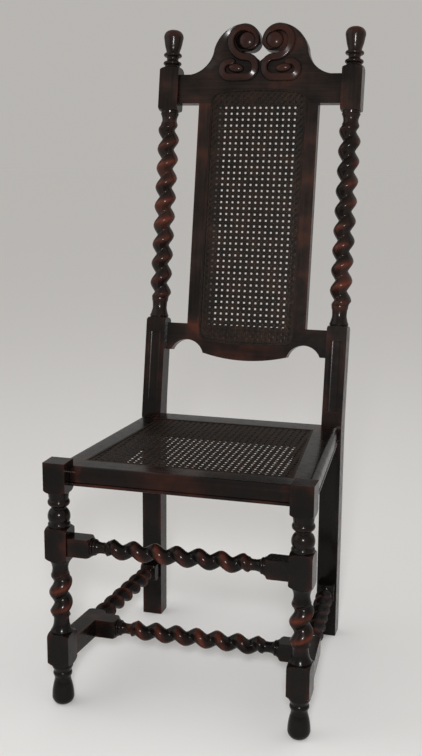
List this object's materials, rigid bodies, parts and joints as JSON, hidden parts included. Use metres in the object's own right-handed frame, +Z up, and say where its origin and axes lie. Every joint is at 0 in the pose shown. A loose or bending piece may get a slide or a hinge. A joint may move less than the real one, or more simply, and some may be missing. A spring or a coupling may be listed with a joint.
{
  "type": "high-back chair",
  "caption": "High-back wooden side chair with barley-twist posts, legs and stretchers, a carved scroll crest with a pierced top, turned finials, and a caned seat and back.",
  "frame": {"origin": "on the floor, under the middle of the chair's box", "axes": "+Z up, the chair faces -Y, X across"},
  "size_m": [0.483, 0.6216, 1.2479],
  "materials": {
    "stained_wood": "dark stain under a glossy polish, worn to red-brown on high spots",
    "cane": "dark stained woven cane, satin",
    "plain_wood": "bare wood inside the joints"
  },
  "bodies": {
    "root": {"left_front_leg": "stained_wood", "right_front_leg": "stained_wood", "left_back_post": "stained_wood", "right_back_post": "stained_wood", "left_seat_rail": "stained_wood", "right_seat_rail": "stained_wood", "front_seat_rail": "stained_wood", "rear_seat_rail": "stained_wood", "front_stretcher": "stained_wood", "left_side_stretcher": "stained_wood", "right_side_stretcher": "stained_wood", "cross_stretcher": "stained_wood", "crest_rail": "stained_wood", "lower_back_rail": "stained_wood", "left_back_stile": "stained_wood", "right_back_stile": "stained_wood", "back_cane": "cane", "seat_cane": "cane", "back_cane_spline": "cane", "seat_cane_spline": "cane", "front_leg_dowels": "plain_wood", "back_post_dowels": "plain_wood"}
  },
  "joints": []
}
